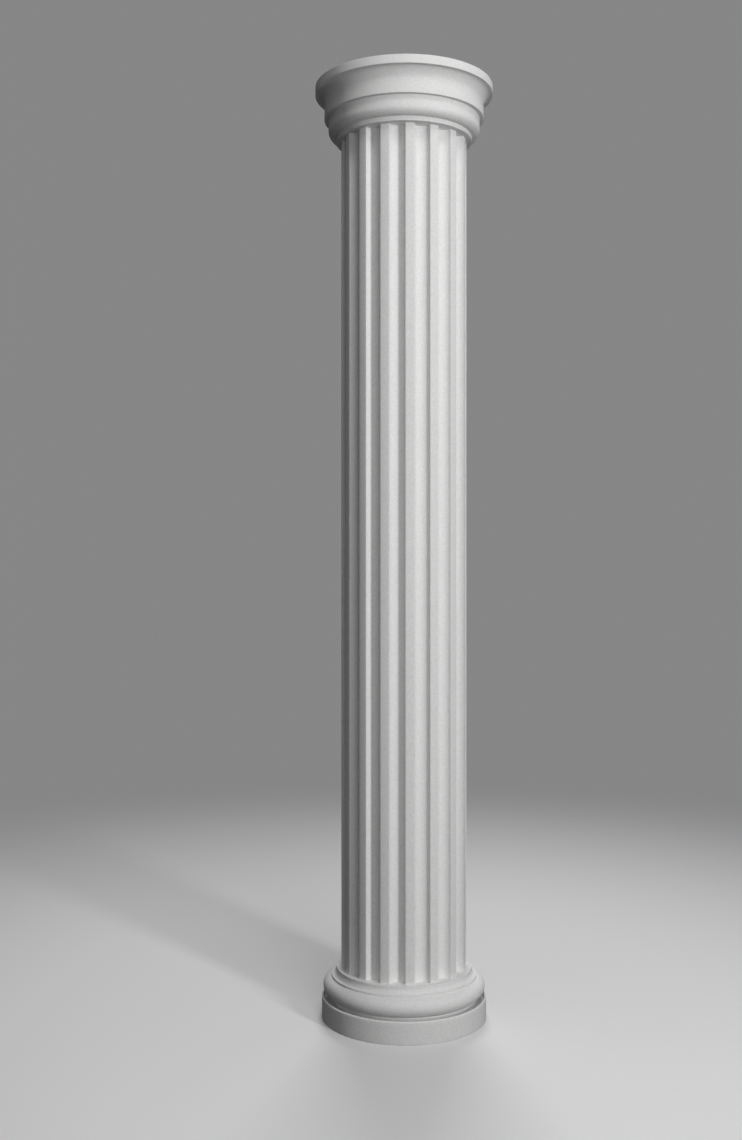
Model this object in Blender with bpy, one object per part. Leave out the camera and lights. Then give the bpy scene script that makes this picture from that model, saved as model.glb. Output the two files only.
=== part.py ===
"""Fluted round column of white cast plaster, in three loose pieces.

The base, the shaft and the capital stand on one another along +Z. The underside of the base
lies at z = 0, and the front faces -Y. Lengths are in metres, angles in radians.

Every moulding is set out from the shaft's face and stacked on the moulding below it, so the
base and the capital follow the shaft.
"""
import math

import bmesh
import bpy

# Shaft
SHAFT_RADIUS = 0.150
SHAFT_LENGTH = 1.9703
SHAFT_TURN = math.radians(3.9)
FLUTE_COUNT = 16
FLUTE_WIDTH = 0.0373
FLUTE_DEPTH = 0.0197

# Base, from the floor up: a height, or a width measured outwards. A groove sunk behind the
# plinth's rim runs in beneath the listel that carries the torus.
PLINTH_HEIGHT = 0.0525
PLINTH_LEDGE = 0.0034
PLINTH_EDGE_RADIUS = 0.0030
RIM_WIDTH = 0.0045
GROOVE_DEPTH = 0.0140
GROOVE_UNDERCUT = 0.0090
LISTEL_HEIGHT = 0.0033
TORUS_HALF_WIDTH = 0.0270
TORUS_HALF_HEIGHT = 0.0231
TORUS_FOOT_ANGLE = math.radians(-62.0)
TORUS_TOP_ANGLE = math.radians(75.0)
FILLET_HEIGHT = 0.0052
FILLET_LEDGE = 0.0021
COVE_WIDTH = 0.0098
COVE_HEIGHT = 0.0133
SEAT_BAND_HEIGHT = 0.0030
SEAT_LEDGE = 0.0113

# Capital, from the shaft up
NECK_LEDGE = 0.0124
NECK_HEIGHT = 0.0108
OVOLO_LEDGE = 0.0026
OVOLO_WIDTH = 0.0160
OVOLO_HEIGHT = 0.0173
DRUM_HEIGHT = 0.0250
BAND_LEDGE = 0.0096
BAND_HEIGHT = 0.0321
CAVETTO_WIDTH = 0.0165
CAVETTO_HEIGHT = 0.0260
ABACUS_LEDGE = 0.0054
ABACUS_HEIGHT = 0.0199

# Open joint between two pieces that rest on one another
JOINT_GAP = 0.0003

# Fineness of the facets
TURN_STEPS = 64
TORUS_STEPS = 12
QUARTER_STEPS = 8
EDGE_STEPS = 3
FLUTE_STEPS = 12
ARRIS_STEPS = 3
CREASE_ANGLE = math.radians(30.0)

PLASTER_COLOUR = (0.86, 0.86, 0.855, 1.0)
PLASTER_ROUGHNESS = 0.85

QUARTER_TURN = math.pi / 2
HALF_TURN = math.pi
FULL_TURN = 2 * math.pi


def arc(centre, half_width, half_height, start, end, steps):
    """Points of an elliptical arc, both ends included, with angles from the horizontal."""
    angles = [start + (end - start) * step / steps for step in range(steps + 1)]
    return [
        (centre[0] + half_width * math.cos(angle), centre[1] + half_height * math.sin(angle))
        for angle in angles
    ]


def base_profile():
    """Outer side of the base from the floor up to the shaft's seat, as (radius, height)."""
    seat = SHAFT_RADIUS + SEAT_LEDGE
    cove_foot = seat + COVE_WIDTH
    fillet = cove_foot + FILLET_LEDGE
    torus_middle = fillet - TORUS_HALF_WIDTH * math.cos(TORUS_TOP_ANGLE)
    listel = torus_middle + TORUS_HALF_WIDTH * math.cos(TORUS_FOOT_ANGLE)
    groove = listel - GROOVE_UNDERCUT
    plinth = torus_middle + TORUS_HALF_WIDTH + PLINTH_LEDGE
    rim = plinth - RIM_WIDTH

    groove_floor = PLINTH_HEIGHT - GROOVE_DEPTH
    listel_top = PLINTH_HEIGHT + LISTEL_HEIGHT
    torus_waist = listel_top - TORUS_HALF_HEIGHT * math.sin(TORUS_FOOT_ANGLE)
    fillet_foot = torus_waist + TORUS_HALF_HEIGHT * math.sin(TORUS_TOP_ANGLE)
    fillet_top = fillet_foot + FILLET_HEIGHT
    band_foot = fillet_top + COVE_HEIGHT

    edge_middle = (plinth - PLINTH_EDGE_RADIUS, PLINTH_HEIGHT - PLINTH_EDGE_RADIUS)
    profile = [(plinth, 0.0)]
    profile += arc(edge_middle, PLINTH_EDGE_RADIUS, PLINTH_EDGE_RADIUS, 0.0, QUARTER_TURN, EDGE_STEPS)
    profile += [(rim, PLINTH_HEIGHT), (rim, groove_floor), (groove, groove_floor)]
    profile += [(listel, PLINTH_HEIGHT)]
    profile += arc(
        (torus_middle, torus_waist),
        TORUS_HALF_WIDTH,
        TORUS_HALF_HEIGHT,
        TORUS_FOOT_ANGLE,
        TORUS_TOP_ANGLE,
        TORUS_STEPS,
    )
    profile += [(fillet, fillet_top)]
    profile += arc(
        (cove_foot, band_foot), COVE_WIDTH, COVE_HEIGHT, -QUARTER_TURN, -HALF_TURN, QUARTER_STEPS
    )
    profile += [(seat, band_foot + SEAT_BAND_HEIGHT)]
    return profile


def capital_profile():
    """Outer side of the capital from its underside up to the abacus, as (radius, height)."""
    neck = SHAFT_RADIUS + NECK_LEDGE
    ovolo_foot = neck + OVOLO_LEDGE
    drum = ovolo_foot + OVOLO_WIDTH
    band = drum + BAND_LEDGE
    cavetto_top = band + CAVETTO_WIDTH
    abacus = cavetto_top + ABACUS_LEDGE

    drum_foot = NECK_HEIGHT + OVOLO_HEIGHT
    band_foot = drum_foot + DRUM_HEIGHT
    cavetto_foot = band_foot + BAND_HEIGHT
    abacus_foot = cavetto_foot + CAVETTO_HEIGHT

    profile = [(neck, 0.0), (neck, NECK_HEIGHT)]
    profile += arc(
        (ovolo_foot, drum_foot), OVOLO_WIDTH, OVOLO_HEIGHT, -QUARTER_TURN, 0.0, QUARTER_STEPS
    )
    profile += [(drum, band_foot), (band, band_foot)]
    profile += arc(
        (cavetto_top, cavetto_foot),
        CAVETTO_WIDTH,
        CAVETTO_HEIGHT,
        HALF_TURN,
        QUARTER_TURN,
        QUARTER_STEPS,
    )
    profile += [(abacus, abacus_foot), (abacus, abacus_foot + ABACUS_HEIGHT)]
    return profile


def shaft_section():
    """Outline of the shaft, seen from above: a circle with hollow flutes, arrises left between."""
    half_mouth = math.asin(FLUTE_WIDTH / 2 / SHAFT_RADIUS)
    mouth_reach = SHAFT_RADIUS * math.cos(half_mouth)
    hollow = FLUTE_DEPTH - (SHAFT_RADIUS - mouth_reach)
    pitch = FULL_TURN / FLUTE_COUNT
    arris = pitch - 2 * half_mouth
    outline = []
    for flute in range(FLUTE_COUNT):
        middle = (flute + 0.5) * pitch
        for across, inward in arc((0.0, 0.0), FLUTE_WIDTH / 2, hollow, HALF_TURN, 0.0, FLUTE_STEPS):
            reach = mouth_reach - inward
            outline.append((
                reach * math.cos(middle) - across * math.sin(middle),
                reach * math.sin(middle) + across * math.cos(middle),
            ))
        for step in range(1, ARRIS_STEPS):
            angle = middle + half_mouth + arris * step / ARRIS_STEPS
            outline.append((SHAFT_RADIUS * math.cos(angle), SHAFT_RADIUS * math.sin(angle)))
    return outline


def plaster(name):
    """Matt white plaster of one piece."""
    material = bpy.data.materials.new(name)
    material.use_nodes = True
    shader = material.node_tree.nodes["Principled BSDF"]
    shader.inputs["Base Color"].default_value = PLASTER_COLOUR
    shader.inputs["Roughness"].default_value = PLASTER_ROUGHNESS
    shader.inputs["Metallic"].default_value = 0.0
    return material


def piece(name, form):
    """Object of a finished form, with smooth faces that stay crisp at the mouldings' edges."""
    bmesh.ops.recalc_face_normals(form, faces=form.faces)
    mesh = bpy.data.meshes.new(name)
    form.to_mesh(mesh)
    form.free()
    mesh.shade_smooth()
    mesh.set_sharp_from_angle(angle=CREASE_ANGLE)
    mesh.materials.append(plaster(name + "_plaster"))
    made = bpy.data.objects.new(name, mesh)
    bpy.context.scene.collection.objects.link(made)
    return made


def turned_piece(name, profile):
    """Profile turned once about +Z, closed flat at its foot and its top."""
    form = bmesh.new()
    points = [form.verts.new((radius, 0.0, height)) for radius, height in profile]
    edges = [form.edges.new(pair) for pair in zip(points, points[1:])]
    bmesh.ops.spin(
        form,
        geom=points + edges,
        axis=(0.0, 0.0, 1.0),
        cent=(0.0, 0.0, 0.0),
        angle=FULL_TURN,
        steps=TURN_STEPS,
        use_merge=True,
    )
    rims = [edge for edge in form.edges if edge.is_boundary]
    bmesh.ops.holes_fill(form, edges=rims, sides=TURN_STEPS)
    return piece(name, form)


def fluted_piece(name, outline, length):
    """Outline drawn up along +Z, closed flat at both ends."""
    form = bmesh.new()
    foot = form.faces.new([form.verts.new((x, y, 0.0)) for x, y in outline])
    risen = bmesh.ops.extrude_face_region(form, geom=[foot], use_keep_orig=True)
    top = [item for item in risen["geom"] if isinstance(item, bmesh.types.BMVert)]
    bmesh.ops.translate(form, verts=top, vec=(0.0, 0.0, length))
    return piece(name, form)


def build_column():
    """Set the shaft on the base's seat and the capital on the shaft."""
    base_outline = base_profile()
    base = turned_piece("base", base_outline)
    seat_height = base_outline[-1][1]

    shaft = fluted_piece("shaft", shaft_section(), SHAFT_LENGTH)
    shaft.parent = base
    shaft.location.z = seat_height + JOINT_GAP
    shaft.rotation_euler.z = SHAFT_TURN

    capital = turned_piece("capital", capital_profile())
    capital.parent = base
    capital.location.z = shaft.location.z + SHAFT_LENGTH + JOINT_GAP


for old in list(bpy.data.objects):
    bpy.data.objects.remove(old, do_unlink=True)
build_column()
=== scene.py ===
"""White cast-plaster column: its fine surface, its finish, and plain studio light.

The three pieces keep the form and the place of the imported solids. They add true curves, eased
edges and the slight unevenness of a cast. Lengths are in metres, angles in radians.
"""

import math
from collections import namedtuple

import bpy
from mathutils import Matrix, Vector, noise


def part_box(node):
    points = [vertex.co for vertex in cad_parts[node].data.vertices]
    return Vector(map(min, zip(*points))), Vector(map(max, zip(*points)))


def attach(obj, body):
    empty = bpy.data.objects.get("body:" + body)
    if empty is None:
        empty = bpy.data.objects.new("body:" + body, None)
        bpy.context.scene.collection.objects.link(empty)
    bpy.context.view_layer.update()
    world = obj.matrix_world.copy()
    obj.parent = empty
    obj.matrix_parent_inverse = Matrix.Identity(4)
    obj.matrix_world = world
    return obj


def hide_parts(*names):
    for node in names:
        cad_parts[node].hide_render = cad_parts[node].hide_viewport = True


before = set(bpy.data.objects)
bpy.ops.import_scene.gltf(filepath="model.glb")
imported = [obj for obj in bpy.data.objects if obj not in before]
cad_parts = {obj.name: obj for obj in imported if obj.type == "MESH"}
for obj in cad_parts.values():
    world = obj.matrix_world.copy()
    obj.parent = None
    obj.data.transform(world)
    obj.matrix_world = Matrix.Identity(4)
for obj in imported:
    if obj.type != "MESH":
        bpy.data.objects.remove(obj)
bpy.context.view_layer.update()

BASE_FOOT, BASE_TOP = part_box("base")
SHAFT_FOOT, SHAFT_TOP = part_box("shaft")
CAPITAL_FOOT, CAPITAL_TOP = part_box("capital")

# Shaft
SHAFT_RADIUS = SHAFT_TOP[0]
SHAFT_TURN = math.radians(3.9)
FLUTE_COUNT = 16
FLUTE_WIDTH = 0.0373
FLUTE_DEPTH = 0.0197

# Base, from the floor up: a height, or a width measured outwards. A groove sunk behind the
# plinth's rim runs in beneath the listel that carries the torus.
PLINTH_HEIGHT = 0.0525
PLINTH_LEDGE = 0.0034
PLINTH_EDGE_RADIUS = 0.0030
RIM_WIDTH = 0.0045
GROOVE_DEPTH = 0.0140
GROOVE_UNDERCUT = 0.0090
LISTEL_HEIGHT = 0.0033
TORUS_HALF_WIDTH = 0.0270
TORUS_HALF_HEIGHT = 0.0231
TORUS_FOOT_ANGLE = math.radians(-62.0)
TORUS_TOP_ANGLE = math.radians(75.0)
FILLET_HEIGHT = 0.0052
FILLET_LEDGE = 0.0021
COVE_WIDTH = 0.0098
COVE_HEIGHT = 0.0133
SEAT_LEDGE = 0.0113

# Capital, from the shaft up
NECK_LEDGE = 0.0124
NECK_HEIGHT = 0.0108
OVOLO_LEDGE = 0.0026
OVOLO_WIDTH = 0.0160
OVOLO_HEIGHT = 0.0173
DRUM_HEIGHT = 0.0250
BAND_LEDGE = 0.0096
BAND_HEIGHT = 0.0321
CAVETTO_WIDTH = 0.0165
CAVETTO_HEIGHT = 0.0260
ABACUS_LEDGE = 0.0054

# Fineness of the surface
TURN_STEPS = 240
CURVE_STEPS = 24
EASING_STEPS = 4
ARRIS_STEPS = 4
PROFILE_SPAN = 0.006
SHAFT_SPAN = 0.020

# A hand-finished cast: edges a little rounded, faces a little uneven
EDGE_EASING = 0.0008
EASED_TURN = math.radians(25.0)
CREASE_ANGLE = math.radians(30.0)
UNEVENNESS = 0.00010
UNEVEN_PER_METRE = 6.0
UNEVEN_FALLOFF = 1.0
UNEVEN_LACUNARITY = 2.0
UNEVEN_OCTAVES = 3

QUARTER_TURN = math.pi / 2
HALF_TURN = math.pi
FULL_TURN = 2 * math.pi

# Plaster: a noise's scale is in features per metre, and its share is its part in the tone
PLASTER_LIGHT = (0.940, 0.940, 0.935, 1.0)
PLASTER_DARK = (0.770, 0.770, 0.765, 1.0)
SPECULAR_LEVEL = 0.3
CLOUD_SCALE = 8.0
CLOUD_DETAIL = 3.0
CLOUD_SHARE = 0.15
MOTTLE_SCALE = 55.0
MOTTLE_DETAIL = 3.0
MOTTLE_SHARE = 0.25
MOTTLE_RELIEF = 0.00012
ROUGHNESS_IN_HOLLOWS = 0.96
ROUGHNESS_ON_SWELLS = 0.80
GRAIN_SCALE = 230.0
GRAIN_DETAIL = 4.0
GRAIN_REACH = (0.27, 0.73)
GRAIN_SHARE = 0.60
GRAIN_RELIEF = 0.00030
PINHOLE_SCALE = 140.0
PINHOLE_REACH = 0.16
PINHOLE_SHARE = 0.04
PINHOLE_DEPTH = 0.0004

# Camera, fitted to the photograph: pixels are those of its 742 x 1140 frame
IMAGE_HEIGHT_PX = 1140
FOCAL_PX = 1266.0
HORIZON_PX = 560.3
SENSOR_MM = 36.0
CAMERA_PLACE = (-0.0790, -3.040, 1.0903)

# Soft boxes. An azimuth is measured from the front towards +X, a size is a width and a height,
# and the aim is the height of the point on the axis that the box is turned to.
SoftBox = namedtuple("SoftBox", "azimuth distance height aim size power")
SOFT_BOXES = {
    "key": SoftBox(
        azimuth=math.radians(37.0), distance=4.2, height=1.9, aim=1.9, size=(0.4, 2.1), power=78.0
    ),
    "fill": SoftBox(
        azimuth=math.radians(8.0), distance=3.3, height=1.6, aim=1.6, size=(1.6, 1.0), power=12.0
    ),
    "top": SoftBox(
        azimuth=math.radians(20.0), distance=2.2, height=4.2, aim=1.4, size=(1.2, 1.2), power=26.0
    ),
    "back": SoftBox(
        azimuth=math.radians(178.0), distance=3.2, height=4.6, aim=1.1, size=(1.6, 1.6), power=85.0
    ),
}

# Even light of the studio, and the backdrop's brightness to the camera
LIGHT_FROM_ABOVE = 0.17
LIGHT_FROM_FRONT = 0.085
LIGHT_FROM_BEHIND = 0.08
BACKDROP = 0.24
WHITE = (1.0, 1.0, 1.0, 1.0)

FLOOR_RADIUS = 5.0
FLOOR_COLOUR = (0.90, 0.90, 0.90, 1.0)
FLOOR_FADE_START = 0.7
FLOOR_FADE_END = 3.2


def arc(centre, half_width, half_height, start, end, steps=CURVE_STEPS):
    """Points of an elliptical arc, both ends included, with angles from the horizontal."""
    angles = [start + (end - start) * step / steps for step in range(steps + 1)]
    return [
        (centre[0] + half_width * math.cos(angle), centre[1] + half_height * math.sin(angle))
        for angle in angles
    ]


def base_profile():
    """Outer side of the base from the floor up to the shaft's seat, as (radius, height)."""
    seat = SHAFT_RADIUS + SEAT_LEDGE
    cove_foot = seat + COVE_WIDTH
    fillet = cove_foot + FILLET_LEDGE
    torus_middle = fillet - TORUS_HALF_WIDTH * math.cos(TORUS_TOP_ANGLE)
    listel = torus_middle + TORUS_HALF_WIDTH * math.cos(TORUS_FOOT_ANGLE)
    groove = listel - GROOVE_UNDERCUT
    plinth = torus_middle + TORUS_HALF_WIDTH + PLINTH_LEDGE
    rim = plinth - RIM_WIDTH

    groove_floor = PLINTH_HEIGHT - GROOVE_DEPTH
    listel_top = PLINTH_HEIGHT + LISTEL_HEIGHT
    torus_waist = listel_top - TORUS_HALF_HEIGHT * math.sin(TORUS_FOOT_ANGLE)
    fillet_foot = torus_waist + TORUS_HALF_HEIGHT * math.sin(TORUS_TOP_ANGLE)
    fillet_top = fillet_foot + FILLET_HEIGHT
    band_foot = fillet_top + COVE_HEIGHT

    edge_middle = (plinth - PLINTH_EDGE_RADIUS, PLINTH_HEIGHT - PLINTH_EDGE_RADIUS)
    profile = [(plinth, BASE_FOOT[2])]
    profile += arc(
        edge_middle, PLINTH_EDGE_RADIUS, PLINTH_EDGE_RADIUS, 0.0, QUARTER_TURN, EASING_STEPS
    )
    profile += [(rim, PLINTH_HEIGHT), (rim, groove_floor), (groove, groove_floor)]
    profile += [(listel, PLINTH_HEIGHT)]
    profile += arc(
        (torus_middle, torus_waist),
        TORUS_HALF_WIDTH,
        TORUS_HALF_HEIGHT,
        TORUS_FOOT_ANGLE,
        TORUS_TOP_ANGLE,
    )
    profile += [(fillet, fillet_top)]
    profile += arc((cove_foot, band_foot), COVE_WIDTH, COVE_HEIGHT, -QUARTER_TURN, -HALF_TURN)
    profile += [(seat, BASE_TOP[2])]
    return profile


def capital_profile():
    """Outer side of the capital from its underside up to the abacus, as (radius, height)."""
    neck = SHAFT_RADIUS + NECK_LEDGE
    ovolo_foot = neck + OVOLO_LEDGE
    drum = ovolo_foot + OVOLO_WIDTH
    band = drum + BAND_LEDGE
    cavetto_top = band + CAVETTO_WIDTH
    abacus = cavetto_top + ABACUS_LEDGE

    neck_top = CAPITAL_FOOT[2] + NECK_HEIGHT
    drum_foot = neck_top + OVOLO_HEIGHT
    band_foot = drum_foot + DRUM_HEIGHT
    cavetto_foot = band_foot + BAND_HEIGHT
    abacus_foot = cavetto_foot + CAVETTO_HEIGHT

    profile = [(neck, CAPITAL_FOOT[2]), (neck, neck_top)]
    profile += arc((ovolo_foot, drum_foot), OVOLO_WIDTH, OVOLO_HEIGHT, -QUARTER_TURN, 0.0)
    profile += [(drum, band_foot), (band, band_foot)]
    profile += arc(
        (cavetto_top, cavetto_foot), CAVETTO_WIDTH, CAVETTO_HEIGHT, HALF_TURN, QUARTER_TURN
    )
    profile += [(abacus, abacus_foot), (abacus, CAPITAL_TOP[2])]
    return profile


def shaft_section():
    """Outline of the shaft, seen from above: a circle with hollow flutes, arrises left between."""
    half_mouth = math.asin(FLUTE_WIDTH / 2 / SHAFT_RADIUS)
    mouth_reach = SHAFT_RADIUS * math.cos(half_mouth)
    hollow = FLUTE_DEPTH - (SHAFT_RADIUS - mouth_reach)
    pitch = FULL_TURN / FLUTE_COUNT
    arris = pitch - 2 * half_mouth
    outline = []
    for flute in range(FLUTE_COUNT):
        middle = SHAFT_TURN + (flute + 0.5) * pitch
        for across, inward in arc((0.0, 0.0), FLUTE_WIDTH / 2, hollow, HALF_TURN, 0.0):
            reach = mouth_reach - inward
            outline.append((
                reach * math.cos(middle) - across * math.sin(middle),
                reach * math.sin(middle) + across * math.cos(middle),
            ))
        for step in range(1, ARRIS_STEPS):
            angle = middle + half_mouth + arris * step / ARRIS_STEPS
            outline.append((SHAFT_RADIUS * math.cos(angle), SHAFT_RADIUS * math.sin(angle)))
    return outline


def eased(points, closed):
    """The same line with every corner rounded by EDGE_EASING."""
    line = [Vector(point) for point in points]
    last = len(line) - 1
    result = []
    for index, corner in enumerate(line):
        before = line[index - 1] - corner
        after = line[(index + 1) % len(line)] - corner
        turn = HALF_TURN - before.angle(after)
        if turn < EASED_TURN or (not closed and index in (0, last)):
            result.append(corner)
            continue
        reach = EDGE_EASING * math.tan(turn / 2)
        start = before.normalized() * min(reach, before.length / 2)
        end = after.normalized() * min(reach, after.length / 2)
        for step in range(EASING_STEPS + 1):
            share = step / EASING_STEPS
            result.append(corner + start * (1 - share) ** 2 + end * share ** 2)
    return result


def spaced(points, longest):
    """The same line with extra points wherever two of them lie further apart than longest."""
    result = [points[0]]
    for start, end in zip(points, points[1:]):
        pieces = max(1, math.ceil((end - start).length / longest))
        result += [start.lerp(end, piece / pieces) for piece in range(1, pieces + 1)]
    return result


def ring_faces(rings):
    """Four-sided faces between rings of vertex numbers, each ring as long as the next."""
    faces = []
    for lower, upper in zip(rings, rings[1:]):
        for index in range(len(lower)):
            following = (index + 1) % len(lower)
            faces.append((lower[index], lower[following], upper[following], upper[index]))
    return faces


def make_cast(name, node, vertices, faces, plaster):
    """One cast: the surface, gently uneven sideways, standing for the CAD node."""
    mesh = bpy.data.meshes.new(name)
    mesh.from_pydata(vertices, [], faces)
    sideways = [Vector((vertex.normal.x, vertex.normal.y, 0.0)) for vertex in mesh.vertices]
    for vertex, direction in zip(mesh.vertices, sideways):
        swell = noise.fractal(
            vertex.co * UNEVEN_PER_METRE, UNEVEN_FALLOFF, UNEVEN_LACUNARITY, UNEVEN_OCTAVES
        )
        vertex.co += direction * swell * UNEVENNESS
    mesh.shade_smooth()
    mesh.set_sharp_from_angle(angle=CREASE_ANGLE)
    mesh.materials.append(plaster)
    piece = bpy.data.objects.new(name, mesh)
    bpy.context.scene.collection.objects.link(piece)
    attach(piece, "root")
    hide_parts(node)


def make_turned_cast(name, node, profile, plaster):
    """Profile turned about the axis, closed by a flat underside and a flat top."""
    foot = (0.0, profile[0][1])
    head = (0.0, profile[-1][1])
    line = spaced(eased([foot] + profile + [head], closed=False), PROFILE_SPAN)
    side = line[1:-1]
    angles = [FULL_TURN * step / TURN_STEPS for step in range(TURN_STEPS)]
    vertices = [
        (radius * math.cos(angle), radius * math.sin(angle), height)
        for radius, height in side
        for angle in angles
    ]
    rings = [range(start, start + TURN_STEPS) for start in range(0, len(vertices), TURN_STEPS)]
    faces = ring_faces(rings)
    for ring, pole, turned in ((rings[0], foot, True), (rings[-1], head, False)):
        centre = len(vertices)
        vertices.append((0.0, 0.0, pole[1]))
        for index in range(TURN_STEPS):
            pair = (ring[index], ring[(index + 1) % TURN_STEPS])
            faces.append((centre, *(reversed(pair) if turned else pair)))
    make_cast(name, node, vertices, faces, plaster)


def make_fluted_cast(name, node, outline, plaster):
    """Outline drawn up from the shaft's foot to its top, closed flat at both ends."""
    section = eased(outline, closed=True)
    foot, head = Vector((0.0, SHAFT_FOOT[2])), Vector((0.0, SHAFT_TOP[2]))
    heights = [level.y for level in spaced([foot, head], SHAFT_SPAN)]
    vertices = [(point.x, point.y, height) for height in heights for point in section]
    rings = [range(start, start + len(section)) for start in range(0, len(vertices), len(section))]
    faces = ring_faces(rings) + [tuple(reversed(rings[0])), tuple(rings[-1])]
    make_cast(name, node, vertices, faces, plaster)


def shader_node(tree, kind, **settings):
    """A shader node of that kind, with its properties set."""
    made = tree.nodes.new(kind)
    for key, value in settings.items():
        setattr(made, key, value)
    return made


def ranged(tree, source, low, high, reach=(0.0, 1.0)):
    """Value of a socket, carried from its reach to the range from low to high."""
    stretch = shader_node(tree, "ShaderNodeMapRange")
    stretch.inputs["From Min"].default_value = reach[0]
    stretch.inputs["From Max"].default_value = reach[1]
    stretch.inputs["To Min"].default_value = low
    stretch.inputs["To Max"].default_value = high
    tree.links.new(source, stretch.inputs["Value"])
    return stretch.outputs["Result"]


def combined(tree, operation, first, second):
    """Sum or product of two sockets."""
    made = shader_node(tree, "ShaderNodeMath", operation=operation)
    tree.links.new(first, made.inputs[0])
    tree.links.new(second, made.inputs[1])
    return made.outputs[0]


def show_mix(tree, share, first, second, output_kind):
    """Show a mix of two shaders: the first where the share is 0, the second where it is 1."""
    mix = shader_node(tree, "ShaderNodeMixShader")
    output = shader_node(tree, output_kind)
    tree.links.new(share, mix.inputs[0])
    tree.links.new(first.outputs[0], mix.inputs[1])
    tree.links.new(second.outputs[0], mix.inputs[2])
    tree.links.new(mix.outputs[0], output.inputs["Surface"])


def noise_pattern(tree, place, scale, detail):
    """Value of a noise at the place."""
    pattern = shader_node(tree, "ShaderNodeTexNoise")
    pattern.inputs["Scale"].default_value = scale
    pattern.inputs["Detail"].default_value = detail
    tree.links.new(place, pattern.inputs["Vector"])
    return pattern.outputs["Fac"]


def pinhole_pattern(tree, place):
    """Depth of the pinholes at the place: 1 in the middle of one, 0 between them."""
    cells = shader_node(tree, "ShaderNodeTexVoronoi")
    cells.inputs["Scale"].default_value = PINHOLE_SCALE
    tree.links.new(place, cells.inputs["Vector"])
    chosen = shader_node(tree, "ShaderNodeMath", operation="LESS_THAN")
    chosen.inputs[1].default_value = PINHOLE_SHARE
    tree.links.new(cells.outputs["Color"], chosen.inputs[0])
    dip = ranged(tree, cells.outputs["Distance"], 1.0, 0.0, (0.0, PINHOLE_REACH))
    return combined(tree, "MULTIPLY", chosen.outputs[0], dip)


def make_plaster():
    """Matt white plaster with a fine grain, a faint cloudiness and a few pinholes."""
    material = bpy.data.materials.new("cast_plaster")
    material.use_nodes = True
    tree = material.node_tree
    shader = tree.nodes["Principled BSDF"]
    shader.inputs["Specular IOR Level"].default_value = SPECULAR_LEVEL

    place = shader_node(tree, "ShaderNodeTexCoord").outputs["Object"]
    cloud = noise_pattern(tree, place, CLOUD_SCALE, CLOUD_DETAIL)
    mottle = noise_pattern(tree, place, MOTTLE_SCALE, MOTTLE_DETAIL)
    grain = noise_pattern(tree, place, GRAIN_SCALE, GRAIN_DETAIL)
    pinholes = pinhole_pattern(tree, place)

    broad = ranged(tree, cloud, 0.0, CLOUD_SHARE)
    middling = ranged(tree, mottle, 0.0, MOTTLE_SHARE)
    fine = ranged(tree, grain, 0.0, GRAIN_SHARE, GRAIN_REACH)
    tone = combined(tree, "ADD", combined(tree, "ADD", broad, middling), fine)
    colour = shader_node(tree, "ShaderNodeMix", data_type="RGBA")
    colour.inputs["A"].default_value = PLASTER_DARK
    colour.inputs["B"].default_value = PLASTER_LIGHT
    tree.links.new(tone, colour.inputs["Factor"])
    tree.links.new(colour.outputs["Result"], shader.inputs["Base Color"])
    roughness = ranged(tree, mottle, ROUGHNESS_IN_HOLLOWS, ROUGHNESS_ON_SWELLS)
    tree.links.new(roughness, shader.inputs["Roughness"])

    swell = ranged(tree, mottle, 0.0, MOTTLE_RELIEF)
    grit = ranged(tree, grain, 0.0, GRAIN_RELIEF)
    pit = ranged(tree, pinholes, 0.0, -PINHOLE_DEPTH)
    height = combined(tree, "ADD", combined(tree, "ADD", swell, grit), pit)
    relief = shader_node(tree, "ShaderNodeBump")
    relief.inputs["Strength"].default_value = 1.0
    relief.inputs["Distance"].default_value = 1.0
    tree.links.new(height, relief.inputs["Height"])
    tree.links.new(relief.outputs["Normal"], shader.inputs["Normal"])
    return material


def make_camera():
    """Camera level at the photograph's place, framing as it does."""
    lens = bpy.data.cameras.new("camera")
    lens.sensor_fit = "VERTICAL"
    lens.sensor_height = SENSOR_MM
    lens.lens = FOCAL_PX / IMAGE_HEIGHT_PX * SENSOR_MM
    lens.shift_y = (HORIZON_PX - IMAGE_HEIGHT_PX / 2) / IMAGE_HEIGHT_PX
    camera = bpy.data.objects.new("camera", lens)
    camera.location = CAMERA_PLACE
    camera.rotation_euler = (QUARTER_TURN, 0.0, 0.0)
    bpy.context.scene.collection.objects.link(camera)
    bpy.context.scene.camera = camera


def make_soft_box(name, box):
    """Rectangular area light, turned to the column."""
    lamp = bpy.data.lights.new(name, "AREA")
    lamp.shape = "RECTANGLE"
    lamp.size, lamp.size_y = box.size
    lamp.energy = box.power
    light = bpy.data.objects.new(name, lamp)
    light.location = (
        box.distance * math.sin(box.azimuth), -box.distance * math.cos(box.azimuth), box.height
    )
    downward = math.atan2(box.height - box.aim, box.distance)
    light.rotation_euler = (QUARTER_TURN - downward, 0.0, box.azimuth)
    bpy.context.scene.collection.objects.link(light)


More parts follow.
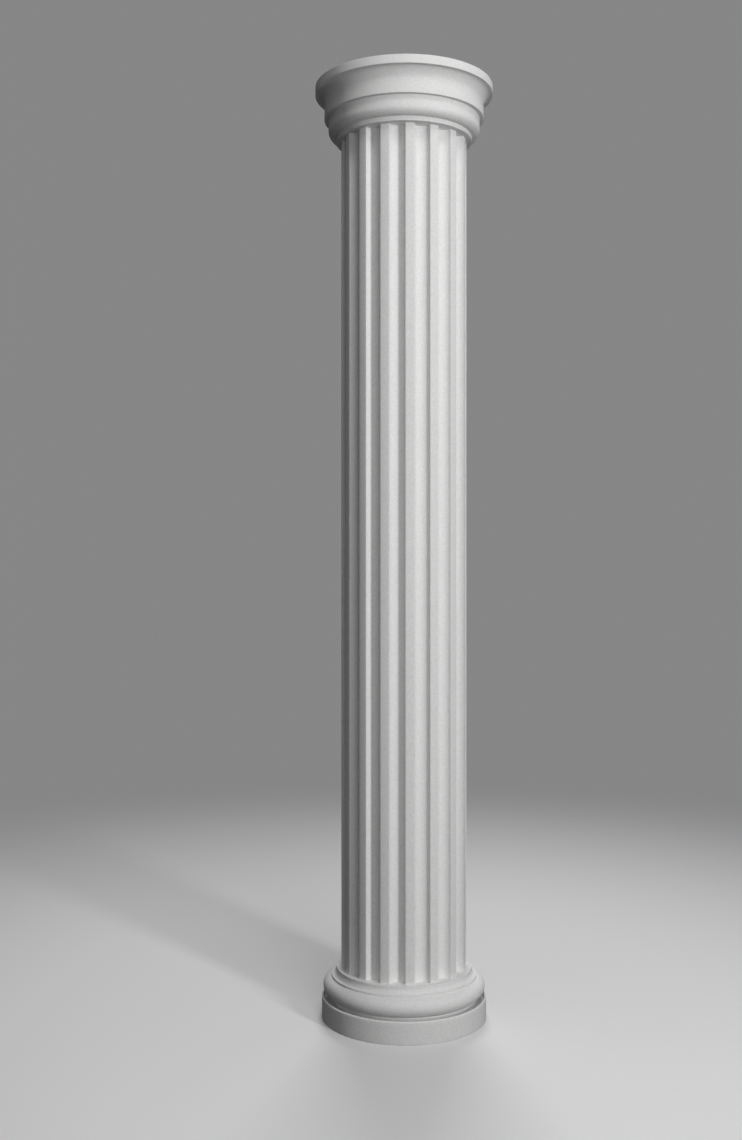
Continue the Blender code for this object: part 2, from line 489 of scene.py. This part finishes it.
def make_world():
    """Faint light from above, in front and behind, and a plain grey backdrop for the camera."""
    world = bpy.data.worlds.new("studio")
    world.use_nodes = True
    tree = world.node_tree
    tree.nodes.clear()
    way = shader_node(tree, "ShaderNodeTexCoord")
    axes = shader_node(tree, "ShaderNodeSeparateXYZ")
    tree.links.new(way.outputs["Generated"], axes.inputs[0])
    above = ranged(tree, axes.outputs["Z"], 0.0, LIGHT_FROM_ABOVE)
    front = ranged(tree, axes.outputs["Y"], 0.0, LIGHT_FROM_FRONT, (0.0, -1.0))
    behind = ranged(tree, axes.outputs["Y"], 0.0, LIGHT_FROM_BEHIND)
    level = combined(tree, "ADD", above, combined(tree, "ADD", front, behind))

    ambient = shader_node(tree, "ShaderNodeBackground")
    ambient.inputs["Color"].default_value = WHITE
    tree.links.new(level, ambient.inputs["Strength"])
    backdrop = shader_node(tree, "ShaderNodeBackground")
    backdrop.inputs["Color"].default_value = WHITE
    backdrop.inputs["Strength"].default_value = BACKDROP
    path = shader_node(tree, "ShaderNodeLightPath")
    show_mix(tree, path.outputs["Is Camera Ray"], ambient, backdrop, "ShaderNodeOutputWorld")
    bpy.context.scene.world = world


def make_floor():
    """Plain pale floor that fades into the backdrop, and throws no light back on the column."""
    angles = [FULL_TURN * step / TURN_STEPS for step in range(TURN_STEPS)]
    rim = [
        (FLOOR_RADIUS * math.cos(angle), FLOOR_RADIUS * math.sin(angle), 0.0) for angle in angles
    ]
    mesh = bpy.data.meshes.new("floor")
    mesh.from_pydata(rim, [], [tuple(range(TURN_STEPS))])
    floor = bpy.data.objects.new("floor", mesh)
    bpy.context.scene.collection.objects.link(floor)
    floor.visible_diffuse = False

    material = bpy.data.materials.new("pale_floor")
    material.use_nodes = True
    tree = material.node_tree
    tree.nodes.clear()
    place = shader_node(tree, "ShaderNodeTexCoord")
    reach = shader_node(tree, "ShaderNodeVectorMath", operation="LENGTH")
    fade = shader_node(tree, "ShaderNodeMapRange", interpolation_type="SMOOTHSTEP")
    fade.inputs["From Min"].default_value = FLOOR_FADE_START
    fade.inputs["From Max"].default_value = FLOOR_FADE_END
    matt = shader_node(tree, "ShaderNodeBsdfDiffuse")
    matt.inputs["Color"].default_value = FLOOR_COLOUR
    clear = shader_node(tree, "ShaderNodeBsdfTransparent")
    tree.links.new(place.outputs["Object"], reach.inputs[0])
    tree.links.new(reach.outputs["Value"], fade.inputs["Value"])
    show_mix(tree, fade.outputs["Result"], matt, clear, "ShaderNodeOutputMaterial")
    mesh.materials.append(material)


make_camera()
for box_name, soft_box in SOFT_BOXES.items():
    make_soft_box(box_name, soft_box)
make_world()
make_floor()
bpy.context.scene.view_settings.view_transform = "Standard"

cast_plaster = make_plaster()
make_turned_cast("base_cast", "base", base_profile(), cast_plaster)
make_fluted_cast("shaft_cast", "shaft", shaft_section(), cast_plaster)
make_turned_cast("capital_cast", "capital", capital_profile(), cast_plaster)
